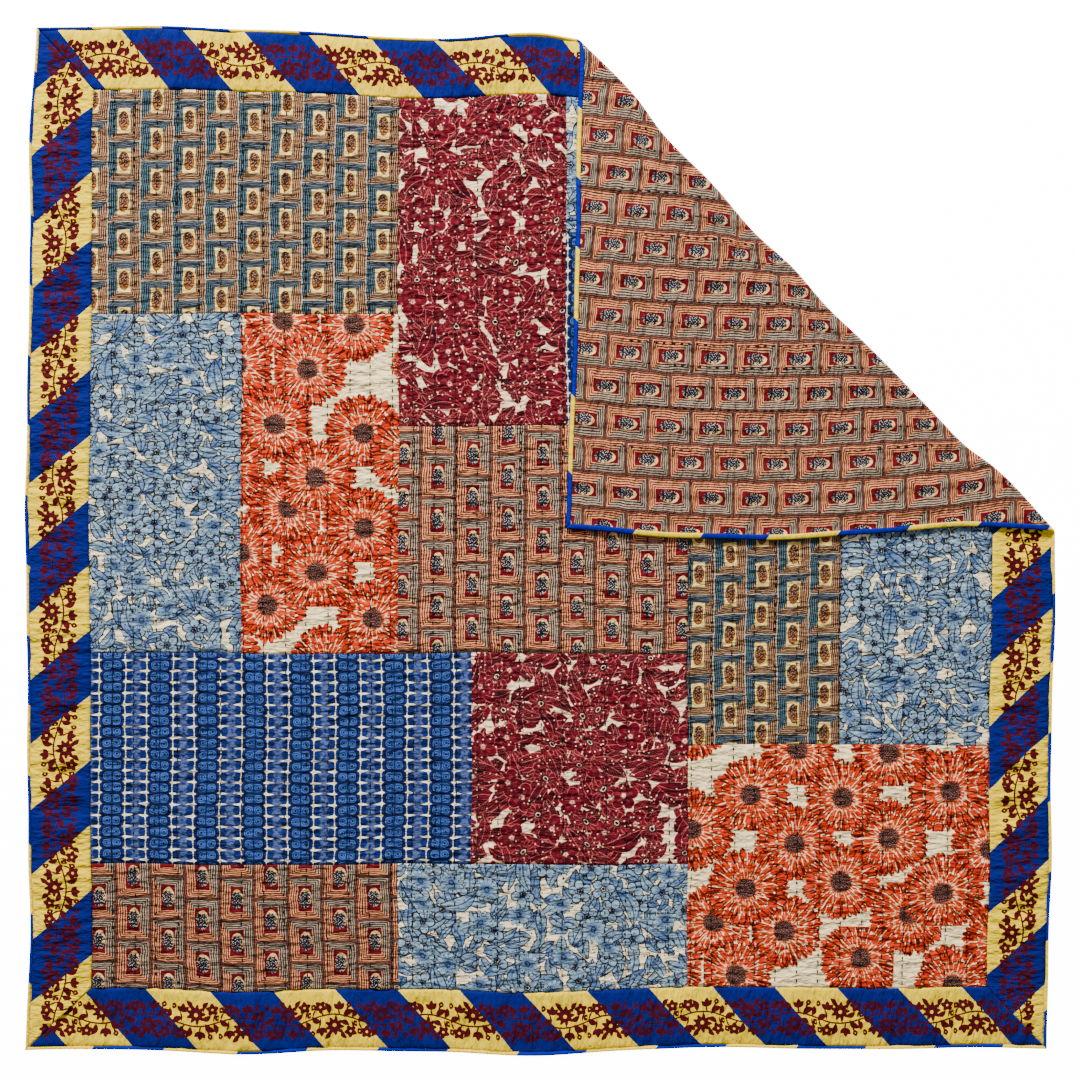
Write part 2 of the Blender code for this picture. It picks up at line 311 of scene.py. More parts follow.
cotton = {
    "wornSize": 0.09, "fineSize": 0.004, "crinkleSize": 0.0165, "smallSize": 0.0075, "creaseSize": 0.020,
    "puckerSize": 0.0085, "crinkle": 0.0150, "smallCrinkle": 0.0038, "crease": 0.0012, "pucker": 0.0058,
    "threads": 4200, "weave": 0.00002,
}
flatCells = {"voronoi_dimensions": "2D"}
fullTurn = 2 * math.pi


class Dye:  # a cloth's material
    def __init__(self, name):
        self.material = bpy.data.materials.new(name)
        self.material.use_nodes = True
        self.nodes = self.material.node_tree.nodes
        self.shader = self.nodes["Principled BSDF"]
        self.u, self.v, _ = self.split(self.add("UVMap", {"uv_map": "cloth"}))

    def plug(self, socket, value):
        if isinstance(value, Wire):
            self.material.node_tree.links.new(value.socket, socket)
        else:
            socket.default_value = value

    def add(self, kind, settings=None, inputs=None, out=0):
        node = self.nodes.new("ShaderNode" + kind)
        for key, value in (settings or {}).items():
            setattr(node, key, value)
        for key, value in (inputs or {}).items():
            self.plug(node.inputs[key], value)
        return Wire(self, node.outputs[out])

    def split(self, vector):
        x = self.add("SeparateXYZ", {}, {0: vector})
        return [Wire(self, output) for output in x.socket.node.outputs]

    def vector(self, x, y, z=0.0):
        return self.add("CombineXYZ", {}, {0: x, 1: y, 2: z})

    def over(self, base, colour, mask):  # colour painted over base where mask is 1
        return self.add("Mix", {"data_type": "RGBA"}, {0: mask, 6: base, 7: colour}, 2)

    def noise(self, x, y, size, detail=1.0, z=0.0):  # about 0.5, softly varying over size metres
        return self.add("TexNoise", {}, {"Vector": self.vector(x, y, z), "Scale": 1 / size, "Detail": detail})

    def polar(self, x, y):
        return (x * x + y * y).calc("SQRT"), y.calc("ARCTAN2", x)

    def scatter(self, pitch, seed, loose=0.8):
        # Loose places a pitch apart: where this point lies from the nearest, and its three chance values.
        place = self.vector(self.u + seed * 0.371, self.v + seed * 0.137)
        chance = self.add("TexVoronoi", flatCells,
                          {"Vector": place, "Scale": 1 / pitch, "Randomness": loose}, "Color")
        middle = Wire(self, chance.socket.node.outputs["Position"])
        x, y, _ = self.split(self.add("VectorMath", {"operation": "SUBTRACT"}, {0: place, 1: middle}))
        return x, y, self.split(chance)

    def finish(self, colour, rough=0.88, crinkled=1.0, turned=False, sewn=False, lightnessAndShade=1.0, gloss=0.12):
        # Washed cotton: a little uneven in lightness, with soft crinkles, sharper creases and a weave. The
        # creases are bumps and also painted shade in the colour.
        s = cotton
        u, v = (self.v, self.u) if turned else (self.u, self.v)
        worn = self.noise(u, v, s["wornSize"], 4.0)
        fine = self.noise(u, v, s["fineSize"], 2.0, 3.0)
        soft = self.noise(u * 0.42, v, s["crinkleSize"], 2.0, 1.0)
        small = self.noise(u * 0.45, v, s["smallSize"], 2.0, 6.0)
        crease = abs(self.noise(u * 0.35, v, s["creaseSize"], 2.0, 8.0) - 0.5).ease(0.022, 0.002)
        crease = crease * worn.ease(0.40, 0.56) * crinkled
        # Painted shade: the colour is darker along the creases.
        shade = worn * 0.24 + fine * 0.26 + 0.77 - crease * 0.34
        height = (soft * s["crinkle"] + small * s["smallCrinkle"] - crease * s["crease"]) * crinkled
        height = height + (u * s["threads"]).calc("SINE") * (v * s["threads"]).calc("SINE") * s["weave"]
        if sewn:  # small puckers beside every sewn line, with painted shade along the line and in the pucker hollows beside it
            channel = ((self.u + innerHalf) / channelPitch).calc("ROUND")
            sway = (self.v * wander["along"] + channel * wander["each"]).calc("SINE") * wander["reach"]
            off = abs(self.u + innerHalf - channel * channelPitch - sway)
            pucker = self.noise(u * 0.30, v, s["puckerSize"], 1.0, 12.0)
            height = height + pucker * off.ease(0.018, 0.003) * s["pucker"]
            shade = shade - off.ease(0.0034, 0.0008) * 0.16
            shade = shade - off.ease(0.016, 0.003) * pucker.ease(0.50, 0.36) * 0.17
        # The factor passed in lightens a cloth in its own colour or darkens it as painted shade.
        self.plug(self.shader.inputs["Base Color"],
                  self.add("VectorMath", {"operation": "SCALE"}, {0: colour, "Scale": shade * lightnessAndShade}))
        self.plug(self.shader.inputs["Roughness"], fine * 0.1 + (rough - 0.05))
        self.plug(self.shader.inputs["Normal"],
                  self.add("Bump", {}, {"Strength": 0.9, "Distance": 1.0, "Height": height}))
        self.shader.inputs["Specular IOR Level"].default_value = gloss
        return self.material


def leafShape(x, y, turn, length, width, bend=0.0):
    # How far inside a pointed leaf, the place along it from -1 to 1, and how far off its vein.
    # The turn is a Wire in radians or a number in degrees.
    if isinstance(turn, Wire):
        cosine, sine = turn.calc("COSINE"), turn.calc("SINE")
    else:
        cosine, sine = math.cos(math.radians(turn)), math.sin(math.radians(turn))
    t = (x * cosine + y * sine) / (length / 2)
    side = y * cosine - x * sine + t * t * bend
    return (1 - t * t) * (width / 2) - abs(side), t, side


def flowerShape(x, y, size, petals, depth, spin=0.0):  # how far inside a flower
    r, turn = x.dye.polar(x, y)
    return ((turn * petals + spin).calc("COSINE") * depth + (1 - depth)) * size - r


# The cloths. Sizes are in metres.
windowPrint = {
    "teal": {
        "halfWide": 0.0158, "halfTall": 0.0285, "lean": -1, "lines": 0.13, "paneRim": 0.060, "fleck": 0.36,
        "sideA": tint(76, 111, 124), "topA": tint(88, 102, 114), "lineA": tint(24, 16, 16),
        "sideB": tint(190, 140, 100), "bottomB": tint(172, 130, 94), "lineB": tint(38, 20, 14),
        "rim": tint(150, 160, 150), "pane": tint(240, 204, 116), "paneLine": tint(30, 18, 18),
        "oval": tint(128, 68, 28), "ovalHalf": (0.0122, 0.0222), "ovalPlace": (0.0, 0.0),
        "posy": tint(34, 36, 42), "posyHalf": (0.0098, 0.0165), "posyPlace": (-0.0008, 0.0028),
        "ovalLine": tint(34, 20, 18), "dots": tint(188, 116, 54),
    },
    "peach": {
        "halfWide": 0.0152, "halfTall": 0.0290, "lean": 1, "lines": 0.16, "paneRim": 0.05, "fleck": 0.24,
        "sideA": tint(176, 152, 126), "topA": tint(168, 148, 124), "lineA": tint(46, 28, 26),
        "sideB": tint(238, 154, 104), "bottomB": tint(230, 150, 100), "lineB": tint(70, 22, 18),
        "rim": tint(62, 14, 16), "pane": tint(98, 4, 16), "paneLine": tint(92, 4, 16),
        "oval": tint(236, 190, 114), "ovalHalf": (0.0136, 0.0226), "ovalPlace": (0.0012, 0.0012),
        "posy": tint(24, 26, 50), "posyHalf": (0.0148, 0.0208), "posyPlace": (-0.0022, -0.0042),
        "ovalLine": tint(236, 190, 114), "dots": tint(226, 204, 160),
    },
}
# How far apart the panes are across and up, and where one has its middle
windowPlaces = {
    "teal": (0.0728, 0.0888, 0.0070, 0.0124),
    "tealEast": (0.0712, 0.0906, -0.0004, -0.0285),
    "peach": (0.0791, 0.0983, 0.0034, 0.0003),
    "peachLow": (0.0775, 0.0971, 0.0113, 0.0205),
    "backing": (0.0799, 0.0965, 0.0, 0.0),
}


def framedPosies(dye, style, place, flip=1):
    # Tall frames of fine lines, in columns that drop by half, round a small pane with a posy in an oval.
    s = windowPrint[style]
    pitch, rise, middle, level = windowPlaces[place]
    sway = (dye.noise(dye.u, dye.v, 0.036, 2.0, 5.0) - 0.5) * 0.0095
    column = (dye.u + sway - middle) / pitch + 0.5
    x = (column.part() - 0.5) * pitch
    drop = (column.calc("FLOOR") * 0.5).part() + 0.5
    y = (((dye.v + sway - level) / rise + drop).part() - 0.5) * (rise * flip)
    across = (abs(x) - s["halfWide"]) / (pitch / 2 - s["halfWide"])
    up = (abs(y) - s["halfTall"]) / (rise / 2 - s["halfTall"])
    ring = across.most(up)
    inB = (x * (-s["lean"] / pitch) - y / rise).ease(-0.004, 0.004)
    onSide = (across - up).ease(-0.01, 0.01)
    colour = dye.over(dye.over(s["topA"], s["sideA"], onSide), dye.over(s["bottomB"], s["sideB"], onSide), inB)
    line = abs((ring * 4.5 + 0.2).part() - 0.5).ease(s["lines"], s["lines"] + 0.12)
    colour = dye.over(colour, dye.over(s["lineA"], s["lineB"], inB), line)
    edge = ring.ease(0.90, 0.945)
    if style == "teal":
        edge = edge * (1 - inB)
    colour = dye.over(colour, s["rim"], edge)
    colour = dye.over(colour, s["paneLine"], ring.ease(s["paneRim"], 0.0))
    colour = dye.over(colour, s["pane"], ring.ease(-0.05, -0.10))
    px, py = x - s["ovalPlace"][0], y - s["ovalPlace"][1]
    wide, tall = s["ovalHalf"]
    oval = (px * px / wide ** 2 + py * py / tall ** 2).calc("SQRT")
    colour = dye.over(colour, s["ovalLine"], oval.ease(1.0, 0.95))
    colour = dye.over(colour, s["oval"], oval.ease(0.92, 0.87))
    qx, qy = x - s["posyPlace"][0], y - s["posyPlace"][1]
    wide, tall = s["posyHalf"]
    ragged = dye.noise(x, y, 0.0055, 1.0, 9.0) - 0.5
    posy = ((qx * qx / wide ** 2 + qy * qy / tall ** 2).calc("SQRT") + ragged * 1.2).ease(0.98, 0.88)
    posy = posy.least(oval.ease(1.06, 1.0))
    colour = dye.over(colour, s["posy"], posy)
    fleck = dye.add("TexVoronoi", flatCells, {"Vector": dye.vector(x, y), "Scale": 220.0})
    onOval = posy if style == "peach" else oval.ease(0.92, 0.87)
    return dye.over(colour, s["dots"], fleck.ease(s["fleck"], s["fleck"] * 0.6) * onOval * 0.9)


bloomPrint = {
    "pitch": 0.216, "radius": 0.0890, "eye": 0.0245, "loose": 0.33, "ground": tint(255, 228, 170),
    "orange": tint(196, 34, 4), "warm": tint(210, 66, 14), "deep": tint(84, 8, 6), "cream": tint(250, 214, 160),
    "eyeColour": tint(44, 18, 22), "eyeFleck": tint(150, 104, 84),
}


def orangeBlooms(dye, seed):
    # Big shaggy blooms of brushed petals that crowd and overlap, one layer drawn over another.
    s = bloomPrint
    colour = s["ground"]
    for k, (du, dv) in enumerate(((0.0, 0.0), (0.5, 0.47))):
        pitch = s["pitch"]
        u, v = dye.u / pitch + seed + du, dye.v / pitch + seed * 0.7 + dv
        luck = dye.add("TexWhiteNoise", {"noise_dimensions": "2D"},
                       {"Vector": dye.vector(u.calc("FLOOR"), v.calc("FLOOR"))}, 1)
        luckX, luckY, luckSize = dye.split(luck)
        x = (u.part() - 0.5 - (luckX - 0.5) * s["loose"]) * pitch
        y = (v.part() - 0.5 - (luckY - 0.5) * s["loose"]) * pitch
        r, turn = dye.polar(x, y)
        c, d = turn.calc("COSINE"), turn.calc("SINE")
        around = dye.vector(turn * 4.5, r * 42 + luckSize * 40)
        gap = dye.add("TexVoronoi", {**flatCells, "feature": "DISTANCE_TO_EDGE"},
                      {"Vector": around, "Scale": 1.0, "Randomness": 0.85})
        brush = dye.add("TexNoise", {},
                        {"Vector": dye.vector(c * 17, d * 17, r * 30 + k), "Scale": 1.2, "Detail": 0.5})
        lobes = dye.add("TexVoronoi", flatCells,
                        {"Vector": dye.vector(turn * 6.6, luckY * 50), "Scale": 1.0, "Randomness": 0.45})
        lumps = dye.add("TexNoise", {}, {"Vector": dye.vector(c, d, luckX * 9 + 2.0), "Scale": 1.5})
        rim = r / (s["radius"] * (0.97 + luckSize * 0.12)) + lobes * lobes * 0.34
        rim = rim + (lumps - 0.5) * 0.36 - 0.04
        outwards = r.ease(0.040, 0.068)
        petal = dye.over(s["orange"], s["warm"], brush.ease(0.44, 0.58))
        petal = dye.over(petal, s["deep"], gap.ease(0.125, 0.080) * outwards)
        petal = dye.over(petal, s["deep"], brush.ease(0.600, 0.630) * r.ease(0.030, 0.050))
        petal = dye.over(petal, s["cream"], (gap + brush * 0.62 + r * 1.9).ease(0.460, 0.425))
        colour = dye.over(colour, petal, rim.ease(1.0, 0.975))
        eye = (r + (brush - 0.5) * 0.016).ease(s["eye"], s["eye"] - 0.0015)
        fleck = dye.add("TexVoronoi", flatCells, {"Vector": dye.vector(x, y), "Scale": 330.0})
        colour = dye.over(colour, dye.over(s["eyeColour"], s["eyeFleck"], fleck.ease(0.30, 0.18)), eye)
    return colour


floralPrint = {
    "blue": {
        "ground": tint(240, 220, 178), "pale": tint(132, 158, 174), "deep": tint(68, 100, 144),
        "inner": tint(56, 78, 112), "outline": tint(30, 14, 22), "ray": tint(34, 34, 62),
        "dot": tint(14, 8, 14),
        "line": 0.0030, "leaf": 0.94, "filled": 0.45, "seeds": 0.46,
    },
    "crimson": {
        "ground": tint(252, 218, 174), "pale": tint(92, 4, 22), "deep": tint(48, 5, 17),
        "inner": tint(46, 8, 20), "outline": tint(184, 88, 84), "ray": tint(150, 54, 56),
        "dot": tint(238, 208, 170),
        "line": 0.0015, "leaf": 1.12, "filled": 0.85, "seeds": 0.36,
    },
}


def leafLayer(dye, colour, s, pitch, seed, long, wide, share=1.0):
    x, y, (a, b, c) = dye.scatter(pitch, seed)
    shape, t, side = leafShape(x, y, a * fullTurn, long, wide, (b - 0.5) * wide * 1.1)
    streak = dye.noise(t * 0.012 + a, side, 0.0032, 1.0, seed)
    wash = dye.noise(dye.u, dye.v, 0.055, 1.0, seed)
    fill = dye.over(s["pale"], s["deep"], (t * 0.42 + streak * 1.1 + wash * 0.9).ease(0.75, 1.35))
    ribs = abs(((t * (long / 2) - abs(side) * 1.3) * 130).part() - 0.5)
    veins = ribs.ease(0.07, 0.02) * (b * 0.9 + wash).ease(0.75, 0.95)
    fill = dye.over(fill, s["outline"], veins * 0.75)
    fill = dye.over(fill, s["outline"], abs(side).ease(s["line"] * 0.7, s["line"] * 0.3) * 0.8)
    fill = dye.over(fill, s["outline"], shape.ease(s["line"] * 1.2, s["line"] * 0.7))
    mask = shape.ease(0.0, s["line"] * 0.3)
    if share < 1:
        mask = mask * c.calc("LESS_THAN", share)
    return dye.over(colour, fill, mask)


def petalLayer(dye, colour, s, pitch, seed, size, share=1.0):
    x, y, (a, b, c) = dye.scatter(pitch, seed)
    r, turn = dye.polar(x, y)
    off = (((turn + a * fullTurn) * (5 / fullTurn)).part() - 0.5) * (fullTurn / 5)
    px, py = r * off.calc("COSINE"), r * off.calc("SINE")
    out, beside = (px - size * 0.56) / (size * 0.44), py / (size * 0.40)
    petal = (1 - (out * out + beside * beside).calc("SQRT")) * (size * 0.38)
    streak = dye.noise(py * 2.4, r, 0.0035, 1.0, seed)
    wash = dye.noise(dye.u, dye.v, 0.055, 1.0, seed)
    fill = dye.over(s["pale"], s["deep"], (streak - out * 0.35 + wash * 0.8).ease(0.85, 1.45))
    stamens = abs(abs(off) - 0.17).ease(0.045, 0.020).most(abs(off).ease(0.040, 0.018))
    stamens = stamens * r.ease(size * 0.60, size * 0.54)
    fill = dye.over(fill, s["ray"], stamens * 0.85)
    fill = dye.over(fill, s["outline"], petal.ease(s["line"] * 1.2, s["line"] * 0.7))
    fill = dye.over(fill, s["dot"], abs(r - size * 0.10).ease(0.0011, 0.0006))
    mask = petal.most(size * 0.14 - r).ease(0.0, s["line"] * 0.3) * c.calc("LESS_THAN", share)
    return dye.over(colour, fill, mask)


def asterLayer(dye, colour, s, pitch, seed, size, share):
    x, y, (a, b, c) = dye.scatter(pitch, seed)
    lean = (a - 0.5) * 1.1
    r, turn = dye.polar(x, (y + x * lean) * (b * 0.5 + 0.9))
    petals = abs((turn * (13 / fullTurn)).part() - 0.5)  # 0 along a petal's middle and 0.5 between two
    inside = size * (1 - petals * petals * 1.1) - r
    fill = dye.over(s["pale"], s["deep"], r.ease(size * 0.8, size * 0.1))
    fill = dye.over(fill, s["outline"], petals.ease(0.39, 0.46) * r.ease(size * 0.28, size * 0.36))
    fill = dye.over(fill, s["ray"], petals.ease(0.10, 0.04) * r.ease(size * 0.62, size * 0.56))
    fill = dye.over(fill, s["outline"], inside.ease(s["line"] * 0.9, s["line"] * 0.5))
    fill = dye.over(fill, s["inner"], r.ease(size * 0.27, size * 0.25))
    fill = dye.over(fill, s["dot"], abs(r - size * 0.17).ease(0.0010, 0.0005))
    return dye.over(colour, fill, inside.ease(0.0, s["line"] * 0.3) * c.calc("LESS_THAN", share))


def crowdedFlowers(dye, style, seed):
    # Veined leaves that fill the ground, five-petalled flowers, asters and a sprinkling of seeds.
    s = floralPrint[style]
    k = s["leaf"]
    colour = leafLayer(dye, s["ground"], s, 0.040 * k, seed, 0.064 * k, 0.0310 * k)
    colour = leafLayer(dye, colour, s, 0.044 * k, seed + 5, 0.054 * k, 0.0200 * k, s["filled"])
    colour = leafLayer(dye, colour, s, 0.050 * k, seed + 1, 0.072 * k, 0.0290 * k, 0.85)
    colour = petalLayer(dye, colour, s, 0.062 * k, seed + 2, 0.0310 * k, 0.62)
    colour = leafLayer(dye, colour, s, 0.120, seed + 3, 0.098, 0.0360, 0.40)
    colour = asterLayer(dye, colour, s, 0.084, seed + 4, 0.0290, 0.48)
    x, y, (a, b, c) = dye.scatter(0.0115, seed + 6, 0.9)
    seeds = dye.polar(x, y)[0].ease(0.0021, 0.0013) * c.calc("LESS_THAN", s["seeds"])
    return dye.over(colour, s["dot"], seeds)


bandPrint = {
    "across": 0.1053, "up": 0.0251, "shift": (0.0687, 0.004),
    "ground": tint(12, 30, 84), "navy": tint(9, 11, 34), "block": tint(26, 54, 114), "ring": tint(72, 102, 156),
    "haze": tint(68, 82, 124), "cross": tint(238, 222, 180),
}


def chainBands(dye):
    # Chains of pale crosses in pairs at the sides of stacked blocks with rings, and hazy bands between.
    s = bandPrint
    sway = (dye.noise(dye.u, dye.v, 0.040, 2.0, 5.0) - 0.5) * 0.0085
    # x is counted from the middle of the blocks, to both sides alike.
    x = abs(((dye.u + sway + s["shift"][0]) / s["across"]).part() - 0.5) * s["across"]
    rise = (dye.v + sway + s["shift"][1]) / s["up"]
    y = (rise.part() - 0.5) * s["up"]
    between = ((rise + 0.5).part() - 0.5) * s["up"]
    mottle = dye.noise(dye.u, dye.v, 0.009, 2.0)
    side = (abs(between) * 0.55 + x).ease(0.0440, 0.0475)
    colour = dye.over(s["ground"], s["haze"], side * mottle.ease(0.34, 0.50) * 0.9)
    block = ((x / 0.0222).calc("POWER", 5.0) + (abs(between) / 0.0118).calc("POWER", 4.0)).calc("POWER", 0.22)
    colour = dye.over(colour, s["navy"], block.ease(1.06, 1.0))
    colour = dye.over(colour, s["block"], block.ease(0.90, 0.84))
    fromRing = dye.polar(x - 0.0108, between)[0]
    rings = abs(abs(fromRing - 0.0060) - 0.0022).ease(0.0009, 0.0003)
    colour = dye.over(colour, s["ring"], rings * block.ease(0.92, 0.86) * 0.8)
    colour = dye.over(colour, s["navy"], fromRing.ease(0.0024, 0.0018) + x.ease(0.0012, 0.0006))
    cx = x - 0.0290
    reach = cx.calc("GREATER_THAN", 0.0) * 0.0120 + 0.0070
    level = (abs(cx) / reach).calc("POWER", 1.4) + abs(y) / 0.0031
    upright = abs(cx) / 0.0026 + (abs(y) / 0.0090).calc("POWER", 1.3)
    cross = level.least(upright).ease(1.05, 0.90)
    chain = abs(cx).ease(0.0013, 0.0007) * (between * 1700).calc("COSINE").ease(-0.6, 0.2)
    return dye.over(colour, s["cross"], cross.most(chain))


borderCloth = {
    "yellow": tint(240, 202, 7), "blue": tint(4, 17, 100),
    "vine": tint(72, 2, 15), "vineOnBlue": tint(62, 2, 24),
    # where a blue stripe starts at the outer edge, the repeat along it, and how it leans as it goes in
    "top": {"start": -0.9625, "repeat": 0.2876, "lean": 0.88},
    "bottom": {"start": -0.9105, "repeat": 0.2842, "lean": -0.90},
    "left": {"start": -0.8630, "repeat": 0.2944, "lean": -0.83},
    "right": {"start": 0.0, "repeat": 0.2851, "lean": 0.93},
    "vineMiddle": 0.0700, "halfRepeat": 104, "stem": 12,
}
# The vine's half repeat in millimetres from its middle, up being out from the quilt's middle. The next half
# is its mirror image, a step along.
vineLeaves = [
    # x, y, turn in degrees, length, width, bend
    (17, 30, 50, 19.4, 10.4, 0), (12, 33, 92, 20.5, 10.4, 0), (6, 29, 135, 18.2, 9.8, 0),
    (11, 18, 100, 16.8, 3.3, 1.5), (-34, -25, 225, 18.2, 9.8, 0), (-28, -28, 272, 20.5, 10.4, 0),
    (-22, -24, 318, 18.2, 9.8, 0), (-31, -9, 80, 25.2, 3.3, -2.5), (31, 17, 35, 28.5, 13.4, 4),
    (-12, 27, 112, 27.4, 12.2, -4), (-41, -3, 150, 25.1, 12.2, 3), (25, -6, -25, 22.8, 11, 3),
    (47, 15, 75, 22.8, 11, -3), (-13, -37, 240, 20.5, 9.8, 3), (20, -36, 300, 20.5, 9.8, -3),
    (-47, 27, 60, 16, 12.2, 0), (34, 34, 75, 14.8, 11, 0), (-48, -32, 100, 14.8, 11, 0),
    (49, -9, 120, 16, 12.2, 0), (-27, 14, 125, 15.8, 3.3, 1.5), (42, -12, 110, 23.1, 3.3, 2.5),
    (3, 3, 80, 16.8, 3.3, 1), (-46, 14, 70, 18.9, 3.3, 2), (30, 26, 70, 14.7, 3.3, 1),
    (-6, -30, 250, 16.8, 3.3, 2), (18, -28, 290, 14.7, 3.3, -2),
]
vineFlowers = [
    # x, y, radius, petals, depth, spin
    (1, -15, 21.5, 9, 0.17, 0.4), (-31, 28, 14.5, 5, 0.16, 1.2), (37, -27, 14.0, 5, 0.16, 2.2),
]
vineHoles = [
    # x, y, radius
    (1, -13, 4.6), (-31, 28, 3.2), (37, -27, 3.0), (-47, 27, 1.9), (34, 34, 1.7), (-48, -32, 1.7),
    (49, -9, 1.8),
]


def stripesAndVine(dye, edge):
    s, stripe = borderCloth, borderCloth[edge]
    wander = (dye.noise(dye.u, dye.v, 0.10, 1.0, 4.0) - 0.5) * 0.010
    phase = ((dye.u + wander - stripe["start"] - dye.v * stripe["lean"]) / stripe["repeat"]).part()
    inBlue = phase.ease(0.5015, 0.4985) * phase.ease(0.0, 0.003)
    colour = dye.over(s["yellow"], s["blue"], inBlue)
    half = s["halfRepeat"]
    place = dye.u * (1000 / half)
    flip = 1 - (place.calc("FLOOR") * 0.5).part() * 4  # 1 and -1 by turns, so that the vine waves
    x = (place.part() - 0.5) * half
    y = (dye.v - s["vineMiddle"]) * flip * -1000
    marks = 1.5 - abs(y - (x * (math.pi / half)).calc("COSINE") * s["stem"])
    for px, py, turn, length, width, bend in vineLeaves:
        marks = marks.most(leafShape(x - px, y - py, turn, length, width, bend)[0])
    for px, py, size, petals, depth, spin in vineFlowers:
        marks = marks.most(flowerShape(x - px, y - py, size, petals, depth, spin))
    for px, py, size in vineHoles:
        marks = marks.least(dye.polar(x - px, y - py)[0] - size)
    return dye.over(colour, dye.over(s["vine"], s["vineOnBlue"], inBlue), marks.ease(-0.75, -0.15))


bindingCloth = {
    "yellow": tint(244, 206, 26), "blue": tint(4, 22, 136), "repeat": 0.3160, "lean": 0.8, "outside": 0.30,
    "start": {"top": 0.2410, "right": -0.0455, "bottom": 0.1000, "left": 0.0500},
}


def bindingStripes(dye, edge):
    s = bindingCloth
    phase = ((dye.u - s["start"][edge] - dye.v * s["lean"]) / s["repeat"]).part()
    colour = dye.over(s["yellow"], s["blue"], phase.ease(0.5, 0.503) * phase.ease(1.0, 0.997))
    shade = dye.v.ease(-0.0020, 0.0006) * (1 - s["outside"]) + s["outside"]  # its outer side is darker, painted shade under the roll
    return dye.add("VectorMath", {"operation": "SCALE"}, {0: colour, "Scale": shade})


print("patchwork")
# Where the patches meet, across and up the sewn quilt.
seams = {
    "left": -innerHalf, "west": -0.678, "block": -0.322, "bands": -0.158, "strip": 0.0565, "mid": 0.331,
    "hidden": 0.404, "east": 0.676, "right": innerHalf,
    "bottom": -innerHalf, "lowTop": -0.729, "orangeTop": -0.459, "middle": -0.253, "peachTop": 0.260,
    "tealLow": 0.514, "stripLow": 0.694, "top": innerHalf,
}
patches = {
    "teal_windows": ("left", "block", "tealLow", "top", lambda d: framedPosies(d, "teal", "teal")),
    "crimson_flowers": ("block", "strip", "peachTop", "top", lambda d: crowdedFlowers(d, "crimson", 0.0)),
    "blue_flowers": ("left", "west", "middle", "tealLow", lambda d: crowdedFlowers(d, "blue", 1.0)),
    "orange_blooms": ("west", "block", "middle", "tealLow", lambda d: orangeBlooms(d, 0.3)),
    "peach_windows": ("block", "mid", "middle", "peachTop", lambda d: framedPosies(d, "peach", "peach")),
    "chain_bands": ("left", "bands", "lowTop", "middle", lambda d: chainBands(d)),
    "crimson_low": ("bands", "mid", "lowTop", "middle", lambda d: crowdedFlowers(d, "crimson", 2.0)),
    "peach_low": ("left", "block", "bottom", "lowTop", lambda d: framedPosies(d, "peach", "peachLow")),
    "blue_low": ("block", "mid", "bottom", "lowTop", lambda d: crowdedFlowers(d, "blue", 3.0)),
    "orange_low": ("mid", "right", "bottom", "orangeTop", lambda d: orangeBlooms(d, 0.8)),
    "teal_east": ("mid", "east", "orangeTop", "peachTop", lambda d: framedPosies(d, "teal", "tealEast")),
    "blue_east": ("east", "right", "orangeTop", "peachTop", lambda d: crowdedFlowers(d, "blue", 4.0)),
    "blue_strip": ("strip", "hidden", "stripLow", "top", lambda d: crowdedFlowers(d, "blue", 5.0)),
    "chain_strip": ("strip", "east", "peachTop", "stripLow", lambda d: chainBands(d)),
    "crimson_turned": ("hidden", "right", "stripLow", "top", lambda d: crowdedFlowers(d, "crimson", 6.0)),
    "orange_turned": ("east", "right", "peachTop", "stripLow", lambda d: orangeBlooms(d, 0.1)),
}
# How light a cloth is beside others of its print: peach_low and teal_east are darkened as painted shade, darker
# towards the bottom and right, and chain_bands is lightened in its own colour.
clothLightnessAndShade = {"peach_low": 0.86, "teal_east": 0.94, "chain_bands": 1.10}
gridStep = {"across": channelPitch / 8, "up": 0.0068}
cloths = {}
for name, (west, east, south, north, cloth) in patches.items():
    lowU, highU, lowV, highV = seams[west], seams[east], seams[south], seams[north]
    across = gridLines(lowU, highU, gridStep["across"], -innerHalf)
    up = gridLines(lowV, highV, gridStep["up"])
    u, v = np.meshgrid(across, up)
    toEdge = np.minimum(np.minimum(u - lowU, highU - u), np.minimum(v - lowV, highV - v))
    piece = clothSheet("patch_" + name, u, v, frontHeight(u, v, toEdge), innerLevel(u, v))
    dye = Dye(name)
    piece.data.materials.append(dye.finish(cloth(dye), sewn=True, lightnessAndShade=clothLightnessAndShade.get(name, 1.0)))
    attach(piece, "root")
    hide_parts("patchwork_centre")
    cloths[name] = piece
    crossed = acrossFold(u, v).min() < 0 < acrossFold(u, v).max()

print("borders and binding")


def alongEdge(edge, along, inwards):  # a place along an edge and in from it, to sewn coordinates
    half = quilt["halfSide"]
    return {"top": (along, half - inwards), "bottom": (along, inwards - half),
            "left": (inwards - half, -along), "right": (half - inwards, -along)}[edge]


def facing(edge, *grids):  # keeps the rows of every edge's grid counter-clockwise
    return grids if edge in ("bottom", "right") else tuple(g[::-1] for g in grids)


